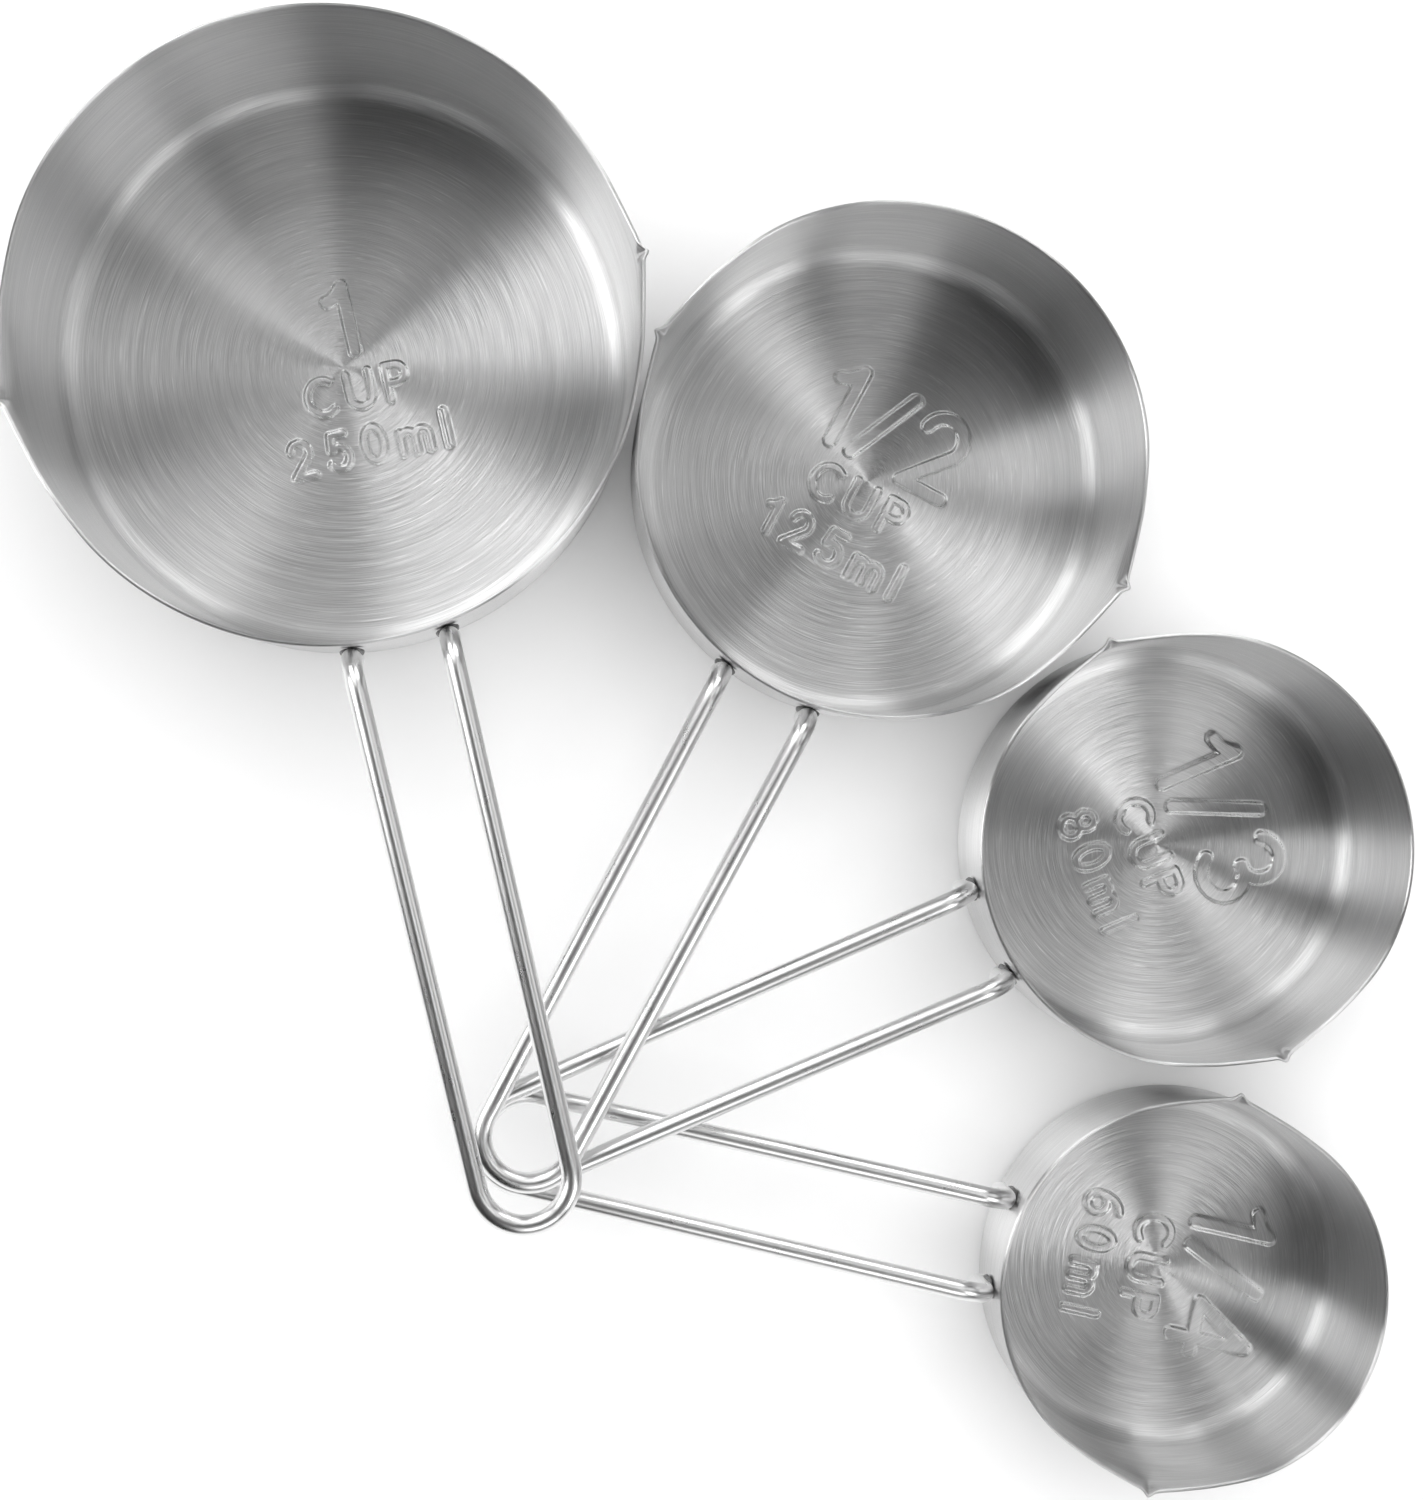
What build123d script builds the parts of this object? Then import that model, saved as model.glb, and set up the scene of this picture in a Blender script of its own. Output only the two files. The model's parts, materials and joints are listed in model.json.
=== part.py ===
from build123d import *
from dataclasses import dataclass
from math import cos, radians, sin, sqrt, tan
import os

# A set of four loose steel measuring cups standing on one table with their handles fanned
# out from a shared crossing point. Each cup is a drawn bowl, a bent wire handle and two
# weld beads. Millimetres, +Z up, table at z = 0, origin under the middle of the whole set.

# Sheet metal
SHEET = 0.6  # wall and floor thickness
BASE_FILLET = 4.0  # outside radius where the wall meets the floor

# Pouring lips, one on each side of the handle
LIP_ANGLE = 90.0  # from the handle, about the cup's axis
LIP_REACH = 1.1  # how far the lip's tip stands out beyond the round rim
LIP_HALF_ANGLE = 14.0  # where the straight sides of the lip leave the round rim
LIP_DEPTH = 13.0  # how far the crease runs down the wall
LIP_TAPER = 0.12  # the lip's wedge at its foot as a share of its size at the rim
LIP_BURY = 0.06  # how far the wedge's foot ends inside the round wall

# Wire handle
WIRE = 2.8  # diameter
WIRE_DROP = 1.6  # rim down to the centre of the level wires
ROOT_HALF_GAP = 6.7  # half the distance between the two wires at the bowl
LOOP_HALF_GAP = 6.35  # the same where they run into the end loop
BEND_RADIUS = 4.2  # centreline radius of the bend down to the wall
LOOP_RADIUS = 6.3  # centreline radius of the end loop
LEG_LENGTH = 12.0  # level wire's centre down to the cut end of the welded leg
WELD_GAP = 0.15  # space between wire and wall that the weld fills

# Weld beads
BEAD_RADIUS = 1.3
BEAD_OFFSET = 0.9  # bead's axis out from the wall
BEAD_LENGTH = 6.0
BEAD_START = 0.8  # above the cut end of the leg
BEAD_END_ROUNDING = 0.8

CLEAR = 1.0  # how far cutting shapes run on past what they cut


@dataclass
class Cup:
    """One cup's own sizes, and where it stands on the table."""

    name: str
    centre: tuple  # of the base, on the table
    handle_turn: float  # degrees from +X to the handle, seen from above
    rim_radius: float
    height: float
    draft: float  # lean of the wall in degrees
    reach: float  # rim to the centre of the handle's end loop

    @property
    def plane(self):
        """Table plane under the cup, its x axis pointing along the handle."""
        turn = radians(self.handle_turn)
        return Plane(origin=(*self.centre, 0), x_dir=(cos(turn), sin(turn), 0), z_dir=(0, 0, 1))

    @property
    def axis(self):
        return Axis((*self.centre, 0), (0, 0, 1))

    @property
    def wire_height(self):
        return self.height - WIRE_DROP

    @property
    def foot_height(self):
        return self.wire_height - LEG_LENGTH

    def wall_radius(self, z):
        """Outside radius of the round wall at height z."""
        return self.rim_radius - (self.height - z) * tan(radians(self.draft))

    def point(self, x, y, z):
        """A point given along the handle, across it, and up from the table."""
        return self.plane.from_local_coords(Vector(x, y, z))

    def leg_x(self, y, z):
        """Where the welded leg's centreline stands off the round wall."""
        return sqrt((self.wall_radius(z) + WIRE / 2 + WELD_GAP) ** 2 - y**2)


CUPS = [
    Cup("one_cup", (-53.45, 58.32), 283.2, 42.4, 47.6, 0.8, 73.0),
    Cup("half_cup", (23.1, 42.05), 241.7, 35.4, 35.2, 0.8, 69.2),
    Cup("third_cup", (65.65, -11.28), 202.9, 30.2, 31.8, 0.8, 70.1),
    Cup("quarter_cup", (65.85, -73.18), 166.7, 27.2, 28.5, 0.8, 68.1),
]


def turned_section(cup, inset, fillet_radius, top):
    """Half section of the bowl's solid of revolution, drawn in by inset from its outside."""
    section = Plane(origin=(*cup.centre, 0), x_dir=cup.plane.x_dir, z_dir=-cup.plane.y_dir)
    base_radius = cup.wall_radius(inset) - inset
    top_radius = cup.wall_radius(top) - inset
    with BuildSketch(section) as sketch:
        with BuildLine():
            Polyline((0, inset), (base_radius, inset), (top_radius, top), (0, top), close=True)
        make_face()
        base_corner = sketch.vertices().group_by(Axis.Y)[0].sort_by(Axis.X)[-1]
        fillet(base_corner, radius=fillet_radius)
    return sketch.sketch


def lip_wedge(cup, lip_turn, inset, top):
    """Three-sided wedge that widens the bowl to a pouring lip and dies out down the wall."""
    turned = cup.plane.rotated((0, 0, lip_turn))
    low = cup.height - LIP_DEPTH
    tip = cup.rim_radius + LIP_REACH - inset
    side = radians(LIP_HALF_ANGLE)
    back = (cup.rim_radius - inset) * cos(side)
    half_width = (cup.rim_radius - inset) * sin(side)
    low_tip = cup.wall_radius(low) - inset - LIP_BURY
    low_back = low_tip - (tip - back) * LIP_TAPER
    rim_outline = [(back, half_width), (tip, 0), (back, -half_width)]
    low_outline = [(low_back, half_width * LIP_TAPER), (low_tip, 0), (low_back, -half_width * LIP_TAPER)]
    with BuildPart() as wedge:
        with BuildSketch(turned.offset(low)):
            Polygon(*low_outline, align=None)
        with BuildSketch(turned.offset(cup.height)) as rim_sketch:
            Polygon(*rim_outline, align=None)
        loft()
        if top > cup.height:
            extrude(rim_sketch.sketch, amount=top - cup.height)
    return wedge.part


def make_bowl(cup):
    """Drawn bowl: flat floor, filleted corner, leaning wall and two pinched pouring lips."""
    lip_turns = (LIP_ANGLE, -LIP_ANGLE)
    cut_top = cup.height + CLEAR
    outside_lips = [lip_wedge(cup, turn, 0, cup.height) for turn in lip_turns]
    inside_lips = [lip_wedge(cup, turn, SHEET, cut_top) for turn in lip_turns]
    with BuildPart() as bowl:
        add(turned_section(cup, 0, BASE_FILLET, cup.height))
        revolve(axis=cup.axis)
        add(outside_lips)
        add(turned_section(cup, SHEET, BASE_FILLET - SHEET, cut_top))
        revolve(axis=cup.axis, mode=Mode.SUBTRACT)
        add(inside_lips, mode=Mode.SUBTRACT)
    return bowl


def make_handle(cup):
    """One round wire: up from a welded leg, out level, round the end loop and back."""
    loop_x = cup.rim_radius + cup.reach + LOOP_RADIUS
    route = []
    for y in (ROOT_HALF_GAP, -ROOT_HALF_GAP):
        foot = cup.point(cup.leg_x(y, cup.foot_height), y, cup.foot_height)
        bend = cup.point(cup.leg_x(y, cup.wire_height), y, cup.wire_height)
        loop = cup.point(loop_x, LOOP_HALF_GAP if y > 0 else -LOOP_HALF_GAP, cup.wire_height)
        route += [foot, bend, loop] if y > 0 else [loop, bend, foot]
    with BuildPart() as handle:
        with BuildLine() as wire:
            FilletPolyline(*route, radius=[BEND_RADIUS, LOOP_RADIUS, LOOP_RADIUS, BEND_RADIUS])
        with BuildSketch(Plane(origin=wire.line @ 0, z_dir=wire.line % 0)):
            Circle(WIRE / 2)
        sweep()
    return handle


def make_welds(cup, bowl, handle):
    """Two beads, each filling the space between one leg of the wire and the wall."""
    with BuildPart() as welds:
        for y in (ROOT_HALF_GAP, -ROOT_HALF_GAP):
            start = bead_point(cup, y, cup.foot_height + BEAD_START)
            end = bead_point(cup, y, cup.foot_height + BEAD_START + BEAD_LENGTH)
            with BuildSketch(Plane(origin=start, z_dir=end - start)):
                Circle(BEAD_RADIUS)
            extrude(amount=BEAD_LENGTH)
        fillet(welds.edges().filter_by(GeomType.CIRCLE), radius=BEAD_END_ROUNDING)
        add(bowl.part, mode=Mode.SUBTRACT)
        add(handle.part, mode=Mode.SUBTRACT)
    return welds


def bead_point(cup, y, z):
    """A point on the bead's axis, between the wall and the leg at half gap y."""
    wire_distance = cup.wall_radius(z) + WIRE / 2 + WELD_GAP
    share = (cup.wall_radius(z) + BEAD_OFFSET) / wire_distance
    return cup.point(cup.leg_x(y, z) * share, y * share, z)


os.makedirs("parts", exist_ok=True)
for cup in CUPS:
    bowl = make_bowl(cup)
    handle = make_handle(cup)
    welds = make_welds(cup, bowl, handle)
    for piece, ending in ((bowl, "bowl"), (handle, "handle"), (welds, "welds")):
        piece.part.label = f"{cup.name}_{ending}"
        export_step(piece.part, f"parts/{piece.part.label}.step")
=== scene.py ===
import json
import math

import bpy
import numpy as np
from mathutils import Matrix, Vector

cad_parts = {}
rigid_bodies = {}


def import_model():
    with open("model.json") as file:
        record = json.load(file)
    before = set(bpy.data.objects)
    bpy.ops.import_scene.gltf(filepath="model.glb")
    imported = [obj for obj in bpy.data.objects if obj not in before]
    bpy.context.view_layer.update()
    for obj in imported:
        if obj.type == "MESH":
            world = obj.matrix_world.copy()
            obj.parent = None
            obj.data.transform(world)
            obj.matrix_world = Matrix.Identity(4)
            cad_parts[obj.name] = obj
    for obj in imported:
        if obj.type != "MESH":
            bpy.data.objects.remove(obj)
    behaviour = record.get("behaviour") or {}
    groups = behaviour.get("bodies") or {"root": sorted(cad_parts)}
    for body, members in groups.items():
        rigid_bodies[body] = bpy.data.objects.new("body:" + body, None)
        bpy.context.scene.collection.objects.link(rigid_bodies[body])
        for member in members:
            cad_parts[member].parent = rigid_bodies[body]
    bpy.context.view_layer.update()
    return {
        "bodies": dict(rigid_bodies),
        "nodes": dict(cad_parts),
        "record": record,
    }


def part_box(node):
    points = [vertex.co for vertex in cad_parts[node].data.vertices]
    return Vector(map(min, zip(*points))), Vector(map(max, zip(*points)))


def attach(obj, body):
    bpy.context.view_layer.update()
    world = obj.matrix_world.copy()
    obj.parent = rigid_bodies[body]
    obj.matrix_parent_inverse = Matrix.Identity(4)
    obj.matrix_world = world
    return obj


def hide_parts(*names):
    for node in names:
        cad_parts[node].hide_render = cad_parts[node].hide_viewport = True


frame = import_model()

# Everything is in metres, in the CAD frame. A set of four steel measuring cups: each has a
# drawn bowl with two pouring lips and raised capacity marks, a wire handle and two welds.
MM = 0.001

# Sheet metal, wire and weld beads, as in the CAD model
SHEET = 0.6 * MM
BASE_FILLET = 4.0 * MM
DRAFT = math.radians(0.8)
WIRE = 2.8 * MM
WIRE_DROP = 1.6 * MM
ROOT_HALF_GAP = 6.7 * MM
LOOP_HALF_GAP = 6.35 * MM
BEND_RADIUS = 4.2 * MM
LEG_LENGTH = 12.0 * MM
WELD_GAP = 0.15 * MM
CUT_ROUNDING = 0.35 * MM
BEAD_LENGTH = 6.6 * MM
BEAD_HALF_WIDTH = 1.55 * MM
BEAD_HALF_DEPTH = 0.95 * MM
BEAD_STAND_OFF = 0.55 * MM
BEAD_LIFT = 0.6 * MM

# Pouring lips: a pinched tip with a hollow on each side of it and a small crimp at its point
LIP_REACH = 1.1 * MM
LIP_DEPTH = 14.0 * MM
LIP_HALF_ANGLE = math.radians(14.0)
HOLLOW_DEPTH = 0.24 * MM
HOLLOW_ANGLE, HOLLOW_SPREAD = math.radians(23.0), math.radians(8.5)
CRIMP_REACH, CRIMP_HALF_WIDTH, CRIMP_LENGTH = 0.62 * MM, 0.6 * MM, 1.9 * MM
WOBBLE = 0.05 * MM

# How finely the meshes are divided
BOWL_SEGMENTS = 512
MARKED_RINGS = 98
INNERMOST_RING = 0.3 * MM
WIRE_SEGMENTS = 40
BEAD_ROWS, BEAD_SEGMENTS = 40, 28

# Raised capacity marks on the floor of each bowl
MARK_HEIGHT = 0.42 * MM
NUMERAL_BASELINE, NUMERAL_STROKE = 3.1 * MM, 2.1 * MM
WORD_SIZE, WORD_BASELINE = 5.0 * MM, -5.0 * MM
VOLUME_SIZE, VOLUME_BASELINE = 5.0 * MM, -13.2 * MM
SMALL_STROKE = 1.25 * MM
NUMERAL_SPACING, WORD_SPACING, VOLUME_SPACING = 0.26, 0.48, 0.49
MARK_EDGE = 0.38 * MM

HANDLE_TURNS = {"one_cup": 283.2, "half_cup": 241.7, "third_cup": 202.9, "quarter_cup": 166.7}
# Numeral and its height, word, volume, and how far the stamp sits right of and above the centre
MARKS = {
    "one_cup": ("1", 9.6 * MM, "CUP", "250ml", (1.1 * MM, -1.2 * MM)),
    "half_cup": ("1/2", 11.2 * MM, "CUP", "125ml", (-0.1 * MM, -0.6 * MM)),
    "third_cup": ("1/3", 12.0 * MM, "CUP", "80ml", (0.1 * MM, 1.1 * MM)),
    "quarter_cup": ("1/4", 11.2 * MM, "CUP", "60ml", (0.4 * MM, 0.85 * MM)),
}

# Brushed finish: roughness of the sheet, and how steeply the brush lines tip its surface
STEEL_ROUGHNESS = 0.34
GROOVE_SLOPE = 1.2
STREAK_SLOPE = 0.35

# Camera and light
CAMERA_AT = Vector((-25.2 * MM, 0.9 * MM, 486.0 * MM))
CAMERA_AIM = Vector((0.1 * MM, 2.6 * MM, 0.0))
CAMERA_LENS = 79.8
ROOM_LIGHT = 0.68
LAMP_AT = Vector((0.1, 0.15, 1.1))
LAMP_SIZE, LAMP_WATTS = 1.2, 9.5


# ---------------------------------------------------------------- materials


class Nodes:
    """A material's node tree with short calls for the nodes used here."""

    def __init__(self, name):
        self.material = bpy.data.materials.new(name)
        self.material.use_nodes = True
        self.tree = self.material.node_tree
        self.tree.nodes.clear()

    def add(self, kind, inputs=None, **settings):
        node = self.tree.nodes.new(kind)
        for key, value in settings.items():
            setattr(node, key, value)
        for key, value in (inputs or {}).items():
            if isinstance(value, bpy.types.NodeSocket):
                self.tree.links.new(value, node.inputs[key])
            else:
                node.inputs[key].default_value = value
        return node

    def attribute(self, name, output="Vector"):
        return self.add("ShaderNodeAttribute", attribute_name=name).outputs[output]

    def position(self):
        return self.add("ShaderNodeTexCoord").outputs["Object"]

    def vector_math(self, operation, inputs):
        return self.add("ShaderNodeVectorMath", inputs, operation=operation).outputs[0]

    def scaled(self, vector, factors):
        return self.vector_math("MULTIPLY", {0: vector, 1: factors})

    def noise(self, vector, scale, detail, roughness):
        inputs = {"Vector": vector, "Scale": scale, "Detail": detail, "Roughness": roughness}
        return self.add("ShaderNodeTexNoise", inputs).outputs["Fac"]

    def remap(self, value, low, high, to_low, to_high):
        source = {"Value": value, "From Min": low, "From Max": high}
        target = {"To Min": to_low, "To Max": to_high}
        return self.add("ShaderNodeMapRange", source | target).outputs["Result"]

    def math(self, operation, a, b):
        return self.add("ShaderNodeMath", {0: a, 1: b}, operation=operation).outputs[0]

    def grey(self, value):
        node = self.add("ShaderNodeCombineColor", {"Red": value, "Green": value, "Blue": value})
        return node.outputs["Color"]

    def bump(self, height, distance):
        inputs = {"Height": height, "Distance": distance, "Strength": 1.0}
        return self.add("ShaderNodeBump", inputs).outputs["Normal"]

    def finish(self, kind, inputs):
        """Add the material's shader, join it to the output and return the material."""
        shader = self.add(kind, inputs)
        self.add("ShaderNodeOutputMaterial", {"Surface": shader.outputs[0]})
        return self.material


def brushed_steel():
    """Stainless sheet brushed in rings: fine broken lines run round the cup's axis."""
    nodes = Nodes("brushed_steel")
    # The "brush" attribute holds a point on the unit circle and the distance along the profile.
    brush = nodes.attribute("brush")
    fine = nodes.noise(nodes.scaled(brush, (2.6, 2.6, 7600.0)), 1.0, 2.0, 0.6)
    grooves = nodes.noise(nodes.scaled(brush, (3.0, 3.0, 24000.0)), 1.0, 1.0, 0.5)
    broad = nodes.noise(nodes.scaled(brush, (1.3, 1.3, 900.0)), 1.0, 2.0, 0.5)
    scratch = nodes.noise(nodes.scaled(brush, (5.0, 5.0, 3600.0)), 1.0, 1.0, 0.5)
    scratches = nodes.remap(scratch, 0.64, 0.76, 0.0, 1.0)
    cloud = nodes.noise(nodes.position(), 60.0, 3.0, 0.5)
    tone = nodes.remap(fine, 0.25, 0.75, 0.62, 0.80)
    tone = nodes.math("MULTIPLY", tone, nodes.remap(broad, 0.3, 0.7, 0.96, 1.04))
    tone = nodes.math("MULTIPLY", tone, nodes.remap(cloud, 0.3, 0.7, 0.98, 1.02))
    tone = nodes.math("ADD", tone, nodes.math("MULTIPLY", scratches, 0.15))
    # The edges of the raised marks are rubbed smoother than the floor round them, and carry a painted
    # highlight: a lighter tone added there.
    wear_and_sheen = nodes.attribute("wear_and_sheen", "Fac")
    tone = nodes.math("ADD", tone, nodes.math("MULTIPLY", wear_and_sheen, 0.14))
    rough = nodes.remap(broad, 0.3, 0.7, STEEL_ROUGHNESS - 0.01, STEEL_ROUGHNESS + 0.02)
    rough = nodes.math("SUBTRACT", rough, nodes.math("MULTIPLY", wear_and_sheen, 0.10))
    # Each brush line is a tiny groove, which tips the surface along the profile.
    groove_slope = nodes.math("MULTIPLY", nodes.math("SUBTRACT", grooves, 0.5), GROOVE_SLOPE)
    streak_slope = nodes.math("MULTIPLY", nodes.math("SUBTRACT", fine, 0.5), STREAK_SLOPE)
    slope = nodes.math("ADD", groove_slope, streak_slope)
    surface = nodes.add("ShaderNodeNewGeometry").outputs["Normal"]
    tangent = nodes.add("ShaderNodeTangent", direction_type="RADIAL", axis="Z").outputs["Tangent"]
    uphill = nodes.vector_math("CROSS_PRODUCT", {0: surface, 1: tangent})
    offset = nodes.vector_math("SCALE", {0: uphill, "Scale": slope})
    normal = nodes.vector_math("NORMALIZE", {0: nodes.vector_math("ADD", {0: surface, 1: offset})})
    return nodes.finish(
        "ShaderNodeBsdfPrincipled",
        {
            "Base Color": nodes.grey(tone),
            "Metallic": 1.0,
            "Roughness": rough,
            "Anisotropic": 1.0,
            "Anisotropic Rotation": 0.25,
            "Tangent": tangent,
            "Normal": normal,
        },
    )


def polished_wire():
    """Drawn wire, polished: faint lines along its length and soft cloudy wear."""
    nodes = Nodes("polished_wire")
    # The "drawn" attribute holds a point on the unit circle round the wire and the length along it.
    drawn = nodes.attribute("drawn")
    lines = nodes.noise(nodes.scaled(drawn, (9.0, 9.0, 25.0)), 1.0, 2.0, 0.6)
    cloud = nodes.noise(nodes.scaled(drawn, (1.0, 1.0, 260.0)), 1.0, 3.0, 0.5)
    tone = nodes.remap(lines, 0.3, 0.7, 0.80, 0.85)
    tone = nodes.math("MULTIPLY", tone, nodes.remap(cloud, 0.3, 0.7, 0.98, 1.01))
    rough = nodes.remap(cloud, 0.3, 0.7, 0.27, 0.30)
    return nodes.finish(
        "ShaderNodeBsdfPrincipled",
        {
            "Base Color": nodes.grey(tone),
            "Metallic": 1.0,
            "Roughness": rough,
            "Normal": nodes.bump(lines, 0.0012 * MM),
        },
    )


def weld_metal():
    """Fused bead: dull and dark, rough to the touch, with small pits."""
    nodes = Nodes("weld_metal")
    grain = nodes.noise(nodes.position(), 1800.0, 4.0, 0.6)
    stain = nodes.noise(nodes.position(), 500.0, 2.0, 0.5)
    tone = nodes.remap(grain, 0.3, 0.7, 0.20, 0.38)
    tone = nodes.math("MULTIPLY", tone, nodes.remap(stain, 0.3, 0.7, 0.7, 1.2))
    return nodes.finish(
        "ShaderNodeBsdfPrincipled",
        {
            "Base Color": nodes.grey(tone),
            "Metallic": 1.0,
            "Roughness": nodes.remap(grain, 0.3, 0.7, 0.38, 0.62),
            "Normal": nodes.bump(grain, 0.05 * MM),
        },
    )


# ---------------------------------------------------------------- lettering


def arc(x, y, rx, ry, start, end, count=14):
    """Points on an ellipse from one angle to another, in degrees."""
    angles = np.radians(np.linspace(start, end, count))
    return [(x + rx * math.cos(a), y + ry * math.sin(a)) for a in angles]


# Single-stroke characters, one unit tall: width, then the strokes as lists of points
GLYPHS = {
    "0": (0.56, [arc(0.28, 0.5, 0.28, 0.5, 0, 360, 28)]),
    "1": (0.30, [[(0.0, 0.8), (0.12, 0.84), (0.24, 0.96), (0.26, 1.0), (0.26, 0.0)]]),
    "2": (0.62, [arc(0.29, 0.71, 0.27, 0.29, 165, -25) + [(0.03, 0.0), (0.62, 0.0)]]),
    "3": (0.58, [arc(0.29, 0.75, 0.25, 0.25, 150, -90), arc(0.29, 0.26, 0.29, 0.26, 90, -155)]),
    "4": (0.66, [[(0.48, 0.0), (0.48, 1.0), (0.0, 0.3), (0.66, 0.3)]]),
    "5": (0.58, [[(0.54, 1.0), (0.13, 1.0), (0.08, 0.58)] + arc(0.29, 0.32, 0.29, 0.32, 125, -150)]),
    "6": (0.56, [arc(0.28, 0.29, 0.28, 0.29, 0, 360, 24), arc(0.5, 0.34, 0.5, 0.66, 178, 95)]),
    "8": (0.56, [arc(0.28, 0.75, 0.23, 0.25, 0, 360, 24), arc(0.28, 0.26, 0.28, 0.26, 0, 360, 24)]),
    "/": (0.46, [[(0.0, 0.0), (0.46, 1.0)]]),
    "C": (0.72, [arc(0.44, 0.5, 0.44, 0.5, 52, 308, 20)]),
    "U": (0.66, [[(0.0, 1.0)] + arc(0.33, 0.33, 0.33, 0.33, 180, 360) + [(0.66, 1.0)]]),
    "P": (
        0.56,
        [[(0.0, 0.0), (0.0, 1.0), (0.28, 1.0)] + arc(0.28, 0.73, 0.28, 0.27, 90, -90) + [(0.0, 0.46)]],
    ),
    "m": (
        0.84,
        [
            [(0.0, 0.0), (0.0, 0.64)],
            [(0.0, 0.42)] + arc(0.21, 0.43, 0.21, 0.21, 180, 0) + [(0.42, 0.0)],
            [(0.42, 0.42)] + arc(0.63, 0.43, 0.21, 0.21, 180, 0) + [(0.84, 0.0)],
        ],
    ),
    "l": (0.1, [[(0.05, 0.0), (0.05, 1.0)]]),
}


def text_segments(text, size, baseline, spacing, shift):
    """Line segments of a centred line of text, as (x0, y0, x1, y1) rows, x to the right, y up."""
    widths = [GLYPHS[c][0] for c in text]
    total = sum(widths) + spacing * (len(text) - 1)
    x = -total / 2
    rows = []
    for character, width in zip(text, widths):
        for stroke in GLYPHS[character][1]:
            for (x0, y0), (x1, y1) in zip(stroke, stroke[1:]):
                rows.append((x + x0, y0, x + x1, y1))
        x += width + spacing
    rows = np.array(rows) * size
    rows[:, [0, 2]] += shift[0]
    rows[:, [1, 3]] += baseline + shift[1]
    return rows


def mark_lines(cup_name):
    """The three lines of a cup's marks: their segments and stroke widths."""
    numeral, numeral_size, word, volume, shift = MARKS[cup_name]
    return (
        (text_segments(numeral, numeral_size, NUMERAL_BASELINE, NUMERAL_SPACING, shift), NUMERAL_STROKE),
        (text_segments(word, WORD_SIZE, WORD_BASELINE, WORD_SPACING, shift), SMALL_STROKE),
        (text_segments(volume, VOLUME_SIZE, VOLUME_BASELINE, VOLUME_SPACING, shift), SMALL_STROKE),
    )


def mark_reach(lines):
    """How far the marks reach from the middle of the floor."""
    reaches = []
    for rows, stroke in lines:
        ends = rows.reshape(-1, 2)
        reaches.append(np.hypot(ends[:, 0], ends[:, 1]).max() + stroke / 2 + MARK_EDGE)
    return max(reaches)


def stroke_distance(points, segments):
    """Distance from each point to the nearest of the segments."""
    nearest = np.full(len(points), np.inf)
    for x0, y0, x1, y1 in segments:
        start = np.array([x0, y0])
        along = np.array([x1 - x0, y1 - y0])
        length_squared = max(float(along @ along), 1e-18)
        share = np.clip((points - start) @ along / length_squared, 0.0, 1.0)
        gap = points - start - share[:, None] * along
        nearest = np.minimum(nearest, np.hypot(gap[:, 0], gap[:, 1]))
    return nearest


def smooth(value):
    value = np.clip(value, 0.0, 1.0)
    return value * value * (3.0 - 2.0 * value)


def mark_relief(points, lines):
    """Height of the raised marks at points (right, up) on the floor, and their edge wear there, which
    also sets a painted highlight.
    """
    relief = np.zeros(len(points))
    for segments, stroke in lines:
        inside = stroke / 2 - stroke_distance(points, segments)
        relief = np.maximum(relief, smooth(inside / MARK_EDGE + 0.25))
    wear_and_sheen = np.clip(4.0 * relief * (1.0 - relief), 0.0, 1.0)  # most of all halfway up their edges
    return relief * MARK_HEIGHT, wear_and_sheen


# ---------------------------------------------------------------- shapes


class Cup:
    """One cup's sizes and directions, read from the frame."""

    def __init__(self, name):
        self.name = name
        mount = next(m for m in frame["record"]["mounts"] if m["name"] == f"{name}_base")
        self.centre = Vector(mount["pos_m"])
        low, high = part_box(f"{name}_bowl")
        self.height = high.z - low.z
        self.rim_radius = min(high.x - low.x, high.y - low.y) / 2
        turn = math.radians(HANDLE_TURNS[name])
        self.along = Vector((math.cos(turn), math.sin(turn), 0.0))
        self.across = Vector((-self.along.y, self.along.x, 0.0))
        self.wire_height = self.height - WIRE_DROP
        self.handle_end = self.handle_reach() - WIRE / 2

    def handle_reach(self):
        """Distance from the cup's axis to the far end of its handle."""
        vertices = frame["nodes"][f"{self.name}_handle"].data.vertices
        return max((v.co - self.centre).dot(self.along) for v in vertices)

    def wall_radius(self, z):
        return self.rim_radius - (self.height - z) * math.tan(DRAFT)

    def point(self, x, y, z):
        """A point given along the handle, across it, and up."""
        return self.centre + self.along * x + self.across * y + Vector((0.0, 0.0, z))


def spaced(start, end, count, ease=1.0):
    """Numbers from start towards end, end left out, closer together near the end if ease < 1."""
    return start + (end - start) * (np.arange(count) / count) ** ease


def side_profile(cup, inset, fillet, rows):
    """Fillet and wall of one side of the sheet, from the floor's edge up to just under the rim."""
    base = fillet + inset
    centre_r = cup.wall_radius(base) - inset / math.cos(DRAFT) - fillet / math.cos(DRAFT)
    turns = np.linspace(-math.pi / 2, -DRAFT, 15)
    curve = [(centre_r + fillet * math.cos(t), base + fillet * math.sin(t)) for t in turns]
    top = cup.height - SHEET / 2
    start_z = curve[-1][1]
    heights = spaced(start_z, top, rows, 0.62)[1:]
    wall = [(cup.wall_radius(z) - inset / math.cos(DRAFT), z) for z in heights]
    return curve + wall


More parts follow.
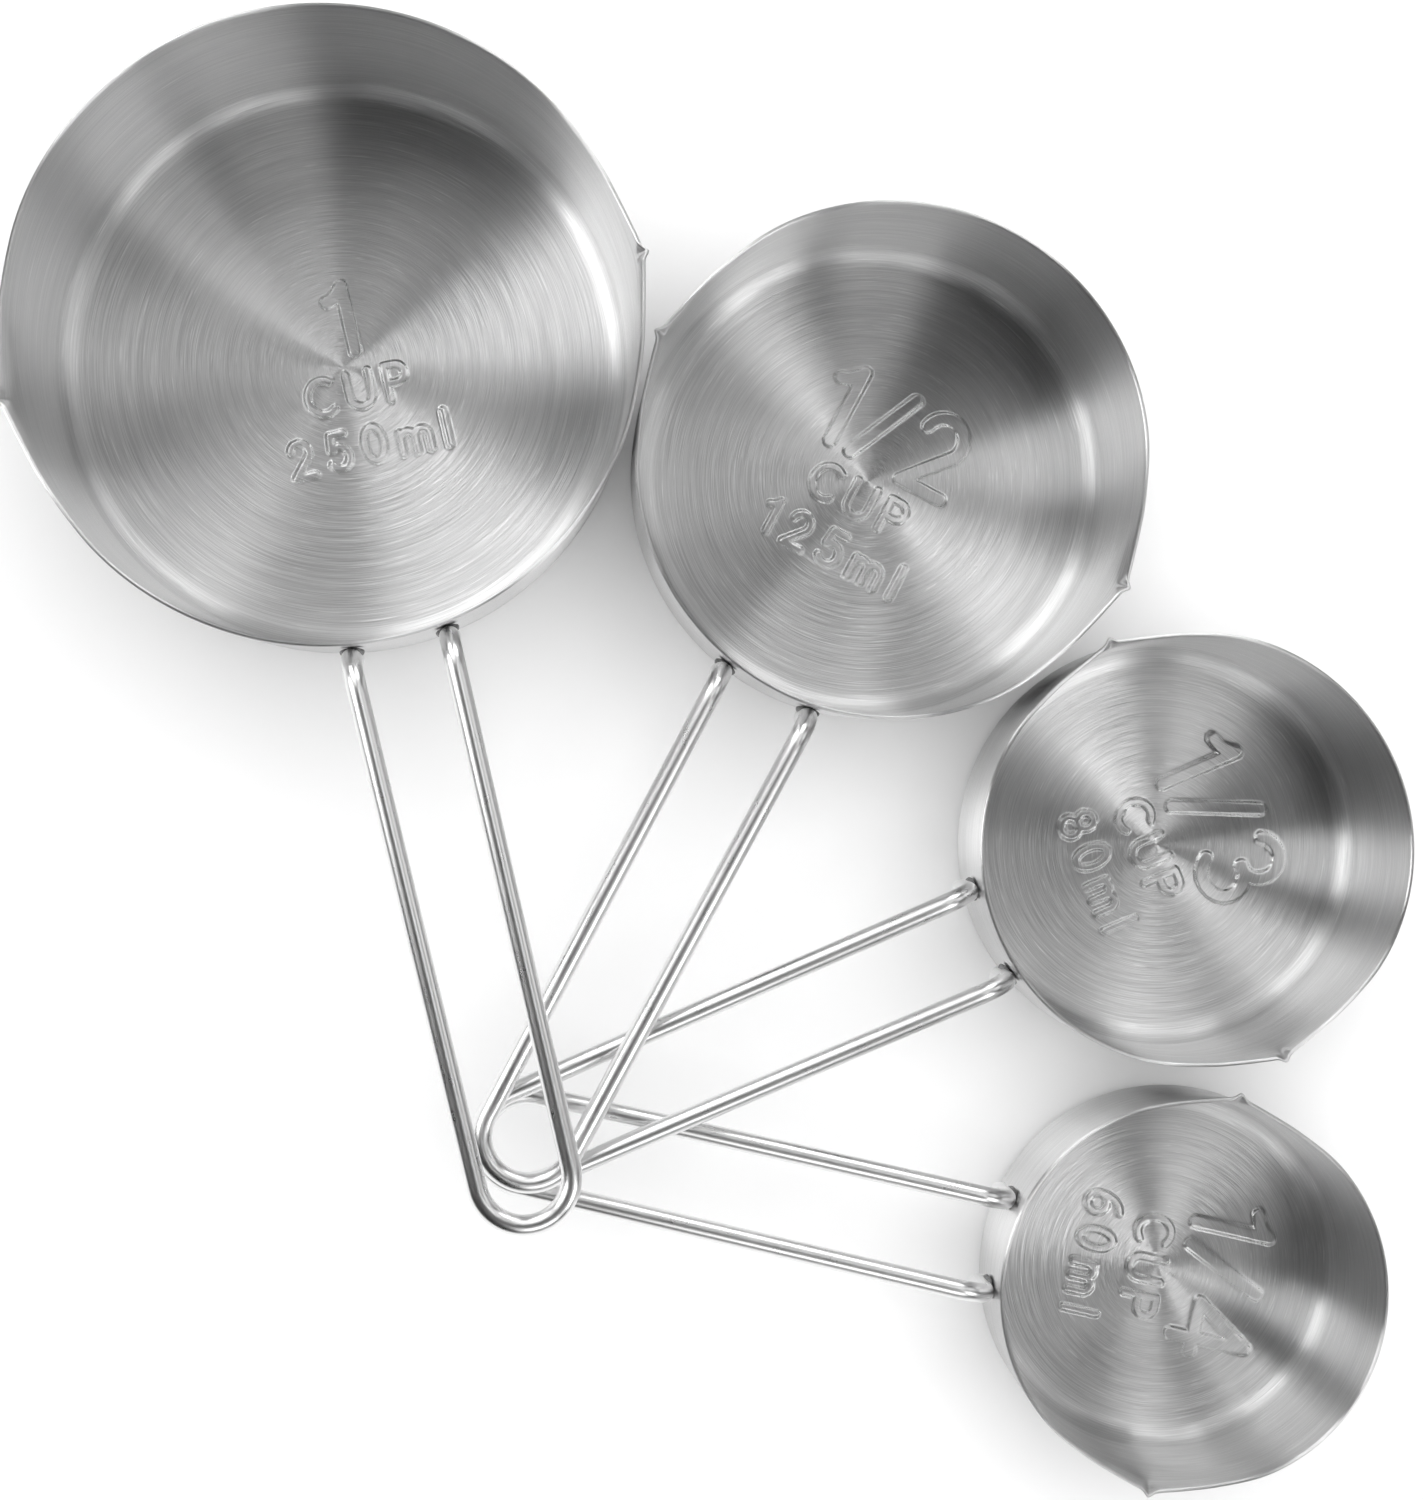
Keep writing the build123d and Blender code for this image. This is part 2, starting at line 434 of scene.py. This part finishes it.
def bowl_profile(cup, marked):
    """The sheet's closed section as (radius, height) rows: floor, inside wall, rim, outside, base."""
    inside = side_profile(cup, SHEET, BASE_FILLET - SHEET, 20)
    outside = side_profile(cup, 0.0, BASE_FILLET, 14)
    floor_edge = inside[0][0]
    floor = [(r, SHEET) for r in spaced(INNERMOST_RING, marked, MARKED_RINGS)]
    floor += [(r, SHEET) for r in spaced(marked, floor_edge, 8)]
    edge = SHEET / 2
    rim_turns = np.linspace(math.pi, 0.0, 9)
    rim = [
        (cup.rim_radius - edge + edge * math.cos(t), cup.height - edge + edge * math.sin(t))
        for t in rim_turns
    ]
    base = [(r, 0.0) for r in spaced(outside[0][0], INNERMOST_RING, 9)[1:]]
    return floor + inside + rim + outside[::-1] + base + [(INNERMOST_RING, 0.0)]


def bell(value, spread):
    return np.exp(-((value / spread) ** 2))


def lip_offset(cup, turn, z):
    """How far the wall moves outwards at an angle from the handle, to form the two lips."""
    away = np.abs((np.degrees(turn) + 180.0) % 360.0 - 180.0)
    away = np.radians(np.abs(away - 90.0))
    depth = np.clip((cup.height - z) / LIP_DEPTH, 0.0, 1.0)
    fade = (1.0 - depth) ** 1.3
    half = LIP_HALF_ANGLE * (1.0 - 0.55 * depth)
    radius = cup.rim_radius
    tip = radius + LIP_REACH * fade
    side_x, side_y = radius * np.cos(half), radius * np.sin(half)
    crease = np.radians(0.7 + 11.0 * depth)  # sharp at the rim, rounded lower down the wall
    soft = np.sqrt(away**2 + crease**2) - crease / 2
    line = tip * side_y / (side_y * np.cos(soft) - (side_x - tip) * np.sin(soft))
    lip = np.where(soft < half, line - radius, 0.0)
    hollow = -HOLLOW_DEPTH * fade * bell(away - HOLLOW_ANGLE, HOLLOW_SPREAD)
    below_rim = np.clip(cup.height - z, 0.0, None)
    crimp = CRIMP_REACH * bell(below_rim, CRIMP_LENGTH) * bell(away * radius, CRIMP_HALF_WIDTH)
    return lip + hollow + crimp


def wall_wobble(cup, turn, z):
    """The slight unevenness of hand-finished sheet, a few hundredths of a millimetre."""
    share = smooth((z - BASE_FILLET) / (cup.height - BASE_FILLET))
    phase = cup.height * 900.0  # a different one for each cup
    waves = np.sin(2 * turn + phase) + 0.6 * np.sin(3 * turn - phase)
    waves += 0.35 * np.sin(5 * turn + 2 * phase)
    return WOBBLE * share * waves


def add_mesh(name, points, faces, smooth_shading=True):
    mesh = bpy.data.meshes.new(name)
    mesh.from_pydata(points.tolist(), [], faces)
    mesh.update()
    if smooth_shading:
        mesh.shade_smooth()
    piece = bpy.data.objects.new(name, mesh)
    bpy.context.scene.collection.objects.link(piece)
    return piece


def ring_faces(rings, count):
    """Quads between closed rings of count points each."""
    faces = []
    for ring in range(rings - 1):
        first = ring * count
        for i in range(count):
            j = (i + 1) % count
            faces.append((first + i, first + j, first + count + j, first + count + i))
    return faces


def set_vectors(piece, name, values):
    layer = piece.data.attributes.new(name, "FLOAT_VECTOR", "POINT")
    layer.data.foreach_set("vector", np.asarray(values, np.float32).ravel())


def make_bowl(cup, material):
    """The bowl as one closed sheet, with its lips, rounded rim and raised marks."""
    lines = mark_lines(cup.name)
    profile = np.array(bowl_profile(cup, mark_reach(lines)))
    steps = np.linspace(0.0, 2 * math.pi, BOWL_SEGMENTS, endpoint=False)
    turns = steps + 0.22 * np.sin(2 * steps)  # closer together at the lips
    rings = len(profile)
    radius = np.repeat(profile[:, 0], BOWL_SEGMENTS)
    z = np.repeat(profile[:, 1], BOWL_SEGMENTS)
    turn = np.tile(turns, rings)
    on_wall = radius > cup.rim_radius - BASE_FILLET
    reach = np.where(on_wall, lip_offset(cup, turn, z) + wall_wobble(cup, turn, z), 0.0)
    x = (radius + reach) * np.cos(turn)
    y = (radius + reach) * np.sin(turn)
    floor_rings = np.argmax(profile[:, 1] > SHEET + 1e-9)
    inner_floor = np.arange(rings * BOWL_SEGMENTS) < BOWL_SEGMENTS * floor_rings
    relief, mark_wear_and_sheen = mark_relief(np.stack([y, -x], 1)[inner_floor], lines)
    z[inner_floor] += relief
    wear_and_sheen = np.zeros(len(z))
    wear_and_sheen[inner_floor] = mark_wear_and_sheen
    points = np.array(cup.centre) + np.outer(x, cup.along) + np.outer(y, cup.across)
    points[:, 2] += z
    steps_along = np.hypot(*np.diff(profile, axis=0).T)
    travelled = np.repeat(np.concatenate([[0.0], np.cumsum(steps_along)]), BOWL_SEGMENTS)
    brush = np.stack([np.cos(turn), np.sin(turn), travelled], 1)
    faces = ring_faces(rings, BOWL_SEGMENTS)
    top, bottom = len(points), len(points) + 1
    ends = np.array([cup.point(0.0, 0.0, SHEET), cup.point(0.0, 0.0, 0.0)])
    points = np.vstack([points, ends])
    brush = np.vstack([brush, [(0.0, 0.0, 0.0), (0.0, 0.0, travelled[-1])]])
    last = (rings - 1) * BOWL_SEGMENTS
    for i in range(BOWL_SEGMENTS):
        j = (i + 1) % BOWL_SEGMENTS
        faces.append((top, j, i))
        faces.append((bottom, last + i, last + j))
    bowl = add_mesh(f"{cup.name}_bowl_sheet", points, faces)
    bowl.data.flip_normals()
    set_vectors(bowl, "brush", brush)
    # Edge wear of the marks, which is also the strength of the painted highlight on their edges.
    layer = bowl.data.attributes.new("wear_and_sheen", "FLOAT", "POINT")
    layer.data.foreach_set("value", np.concatenate([wear_and_sheen, [0.0, 0.0]]).astype(np.float32))
    bowl.data.materials.append(material)
    return bowl


def arc_points(centre, radius, first, second, start, end, count):
    """Points of an arc about centre in the plane of two directions."""
    angles = np.linspace(start, end, count)
    return [centre + radius * (math.cos(a) * first + math.sin(a) * second) for a in angles]


def wire_route(cup):
    """The wire's centreline from one cut end, over the bend, round the loop and back down."""
    up = Vector((0.0, 0.0, 1.0))
    foot_z = cup.wire_height - LEG_LENGTH
    loop_x = cup.handle_end - LOOP_HALF_GAP
    stand_off = WIRE / 2 + WELD_GAP
    foot_x = math.sqrt((cup.wall_radius(foot_z) + stand_off) ** 2 - ROOT_HALF_GAP**2)
    top_x = math.sqrt((cup.wall_radius(cup.wire_height) + stand_off) ** 2 - ROOT_HALF_GAP**2)
    foot = cup.point(foot_x, ROOT_HALF_GAP, foot_z)
    corner = cup.point(top_x, ROOT_HALF_GAP, cup.wire_height)
    loop_start = cup.point(loop_x, LOOP_HALF_GAP, cup.wire_height)
    out = (loop_start - corner).normalized()
    bend_start = corner - up * BEND_RADIUS
    half = [foot.lerp(bend_start, t) for t in np.linspace(0.0, 1.0, 10, endpoint=False)]
    bend_centre = corner + (out - up) * BEND_RADIUS
    half += arc_points(bend_centre, BEND_RADIUS, -out, up, 0.0, math.pi / 2, 14)
    start = half[-1]
    half += [start.lerp(loop_start, t) for t in np.linspace(0.0, 1.0, 60, endpoint=False)[1:]]
    loop_centre = cup.point(loop_x, 0.0, cup.wire_height)
    half += arc_points(loop_centre, LOOP_HALF_GAP, cup.across, cup.along, 0.0, math.pi / 2, 22)
    mirrored = [mirror_across(cup, p) for p in half[:-1]]
    return half + mirrored[::-1]


def mirror_across(cup, point):
    """The same point on the other side of the handle's middle plane."""
    return point - cup.across * (2 * (point - cup.centre).dot(cup.across))


def make_wire(cup, material):
    """The handle's wire as one closed tube with slightly rounded cut ends."""
    route = np.array(wire_route(cup))
    tangents = np.gradient(route, axis=0)
    tangents /= np.linalg.norm(tangents, axis=1)[:, None]
    # End rings: the tube narrows over the rounded edge of each cut end.
    shrink = [(0.0, 1.0 - CUT_ROUNDING / (WIRE / 2)), (0.3, 0.9), (1.0, 1.0)]
    stations = [(route[0] + tangents[0] * CUT_ROUNDING * s, tangents[0], k) for s, k in shrink]
    stations += [(p, t, 1.0) for p, t in zip(route[1:-1], tangents[1:-1])]
    stations += [(route[-1] - tangents[-1] * CUT_ROUNDING * s, tangents[-1], k) for s, k in shrink[::-1]]
    side = np.array(cup.across)
    rings, drawn = [], []
    travelled, previous = 0.0, None
    angles = np.linspace(0.0, 2 * math.pi, WIRE_SEGMENTS, endpoint=False)
    for centre, tangent, size in stations:
        side = side - tangent * (side @ tangent)
        side /= np.linalg.norm(side)
        other = np.cross(tangent, side)
        if previous is not None:
            travelled += float(np.linalg.norm(centre - previous))
        previous = centre
        round_it = np.outer(np.cos(angles), side) + np.outer(np.sin(angles), other)
        rings.append(centre + round_it * (WIRE / 2 * size))
        length = np.full(WIRE_SEGMENTS, travelled)
        drawn.append(np.stack([np.cos(angles), np.sin(angles), length], 1))
    points = np.vstack(rings)
    faces = ring_faces(len(rings), WIRE_SEGMENTS)
    faces.append(tuple(range(WIRE_SEGMENTS))[::-1])
    last = len(points) - WIRE_SEGMENTS
    faces.append(tuple(range(last, len(points))))
    wire = add_mesh(f"{cup.name}_wire", points, faces)
    set_vectors(wire, "drawn", np.vstack(drawn))
    wire.data.materials.append(material)
    return wire


def make_welds(cup, material):
    """Two rippled weld beads, each lying between a leg of the wire and the wall."""
    points, faces = [], []
    rows, count = BEAD_ROWS, BEAD_SEGMENTS
    for side in (1.0, -1.0):
        first = len(points)
        for row in range(rows):
            share = row / (rows - 1)
            z = cup.wire_height - LEG_LENGTH + BEAD_LIFT + share * BEAD_LENGTH
            end = math.sqrt(max(1.0 - (2 * share - 1) ** 4, 0.0004))
            ripple = 1.0 + 0.07 * math.sin(share * 40.0 + side + cup.height * 500)
            turn = side * math.asin(ROOT_HALF_GAP / (cup.wall_radius(z) + WIRE / 2 + WELD_GAP))
            outward = cup.along * math.cos(turn) + cup.across * math.sin(turn)
            sideways = Vector((-outward.y, outward.x, 0.0))
            middle = cup.centre + outward * (cup.wall_radius(z) + BEAD_STAND_OFF) + Vector((0, 0, z))
            for i in range(count):
                angle = 2 * math.pi * i / count
                wide = BEAD_HALF_WIDTH * end * ripple * math.cos(angle)
                deep = BEAD_HALF_DEPTH * end * ripple * math.sin(angle)
                deep = deep if deep > 0 else deep / 2
                points.append(middle + sideways * wide + outward * deep)
        faces += [tuple(first + v for v in f) for f in ring_faces(rows, count)]
        faces.append(tuple(range(first, first + count))[::-1])
        faces.append(tuple(range(first + (rows - 1) * count, first + rows * count)))
    welds = add_mesh(f"{cup.name}_weld_beads", np.array(points), faces)
    welds.data.materials.append(material)
    return welds


# ---------------------------------------------------------------- the set

STEEL, POLISHED, WELD = brushed_steel(), polished_wire(), weld_metal()

for cup_name in frame["bodies"]:
    cup = Cup(cup_name)
    pieces = (
        (make_bowl(cup, STEEL), "bowl", "brushed_bowl"),
        (make_wire(cup, POLISHED), "handle", "polished_wire"),
        (make_welds(cup, WELD), "welds", "weld_bead"),
    )
    for piece, node, slot in pieces:
        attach(piece, cup_name)
        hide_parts(f"{cup_name}_{node}")


# ---------------------------------------------------------------- floor, light and camera


def make_floor():
    """A pale matt table top, wide enough to fill low views."""
    nodes = Nodes("pale_floor")
    cloud = nodes.noise(nodes.position(), 6.0, 3.0, 0.5)
    tone = nodes.grey(nodes.remap(cloud, 0.3, 0.7, 0.93, 0.95))
    look = {"Base Color": tone, "Roughness": 0.7, "Specular IOR Level": 0.2}
    size, below = 6.0, -0.02 * MM
    corners = np.array([(x * size, y * size, below) for x, y in ((-1, -1), (1, -1), (1, 1), (-1, 1))])
    floor = add_mesh("floor", corners, [(0, 1, 2, 3)], smooth_shading=False)
    floor.data.materials.append(nodes.finish("ShaderNodeBsdfPrincipled", look))


# Strip softboxes on a drum round the cups, seen only in the metal: start and end azimuth in
# degrees, the row of the drum that each fills, and its brightness.
FOOT, LOW, MIDDLE, HIGH = 0, 1, 2, 3
ROW_HEIGHTS = (50.0 * MM, 160.0 * MM, 350.0 * MM, 700.0 * MM, 1500.0 * MM)
FOOT_SHARE = 0.12  # the foot of the low panels is flagged off, so that the cups' sides keep their tone
PANELS = (
    (345, 378, LOW, 1.1),
    (45, 84, LOW, 3.8),
    (113, 147, LOW, 3.9),
    (170, 198, LOW, 5.9),
    (262, 290, LOW, 2.2),
    (301, 323, LOW, 3.7),
    (5, 60, MIDDLE, 0.8),
    (70, 112, MIDDLE, 1.3),
    (112, 148, MIDDLE, 2.4),
    (170, 198, MIDDLE, 1.2),
    (258, 274, MIDDLE, 0.5),
    (318, 332, MIDDLE, 2.0),
    (342, 398, HIGH, 1.7),
    (80, 112, HIGH, 1.8),
    (128, 150, HIGH, 1.3),
    (290, 306, HIGH, 1.0),
)
PANEL_EDGE = 2.0
GAP_GLOW = 0.01
RING_CENTRE = Vector((4.8 * MM, 45.9 * MM, 0.0))
RING_RADIUS = 300.0 * MM


def panel_glow(azimuth, row):
    """Brightness of the drum at an azimuth in degrees, panels having soft upright edges."""
    if row == FOOT:
        return FOOT_SHARE * panel_glow(azimuth, LOW)
    glow = GAP_GLOW
    for start, end, filled, level in PANELS:
        middle, half = (start + end) / 2, (end - start) / 2
        away = abs((azimuth - middle + 180.0) % 360.0 - 180.0)
        if row == filled:
            glow += level * float(smooth((half - away) / PANEL_EDGE + 0.5))
    return glow


def reflected_only(obj):
    """Shown in reflections alone: not to the camera, and without shadow or light on the floor."""
    obj.visible_camera = False
    obj.visible_diffuse = False
    obj.visible_shadow = False
    obj.visible_transmission = False
    obj.visible_volume_scatter = False


def make_panels():
    """The drum of softboxes and dark gaps, closed by a dark canopy."""
    count = 360
    ring = [Vector((math.cos(t), math.sin(t), 0.0)) for t in np.radians(np.arange(count))]
    points = []
    for height in ROW_HEIGHTS:
        points += [RING_CENTRE + RING_RADIUS * out + Vector((0.0, 0.0, height)) for out in ring]
    points.append(RING_CENTRE + Vector((0.0, 0.0, ROW_HEIGHTS[-1])))
    faces = ring_faces(len(ROW_HEIGHTS), count)
    glow = [panel_glow(i + 0.5, row) for row in (FOOT, LOW, MIDDLE, HIGH) for i in range(count)]
    top = len(points) - 1 - count
    faces += [(top + i, top + (i + 1) % count, top + count) for i in range(count)]
    glow += [0.0] * count
    drum = add_mesh("panel_drum", np.array(points), faces, smooth_shading=False)
    layer = drum.data.attributes.new("glow", "FLOAT", "FACE")
    layer.data.foreach_set("value", np.array(glow, np.float32))
    nodes = Nodes("panel_glow")
    level = nodes.attribute("glow", "Fac")
    drum.data.materials.append(nodes.finish("ShaderNodeEmission", {"Strength": level}))
    reflected_only(drum)


def make_lamp():
    """A large round softbox overhead, for the floor; the metal doesn't mirror it."""
    data = bpy.data.lights.new("overhead_softbox", "AREA")
    data.shape = "DISK"
    data.size = LAMP_SIZE
    data.energy = LAMP_WATTS
    lamp = bpy.data.objects.new("overhead_softbox", data)
    lamp.location = LAMP_AT
    lamp.rotation_euler = (-LAMP_AT).to_track_quat("-Z", "Y").to_euler()
    lamp.visible_glossy = False
    bpy.context.scene.collection.objects.link(lamp)


def make_world():
    """An even, nearly white room."""
    world = bpy.data.worlds.new("studio")
    world.use_nodes = True
    background = world.node_tree.nodes["Background"]
    background.inputs["Color"].default_value = (1.0, 1.0, 1.0, 1.0)
    background.inputs["Strength"].default_value = ROOM_LIGHT
    bpy.context.scene.world = world


def make_camera():
    """Looks almost straight down, its image's upright along the frame's +Y."""
    data = bpy.data.cameras.new("camera")
    data.lens = CAMERA_LENS
    data.clip_start = 0.01
    camera = bpy.data.objects.new("camera", data)
    forward = (CAMERA_AIM - CAMERA_AT).normalized()
    right = forward.cross(Vector((0.0, 1.0, 0.0))).normalized()
    up = right.cross(forward)
    turn = Matrix((right, up, -forward)).transposed()
    camera.matrix_world = Matrix.Translation(CAMERA_AT) @ turn.to_4x4()
    bpy.context.scene.collection.objects.link(camera)
    bpy.context.scene.camera = camera


make_floor()
make_panels()
make_lamp()
make_world()
make_camera()
bpy.context.scene.view_settings.view_transform = "Standard"
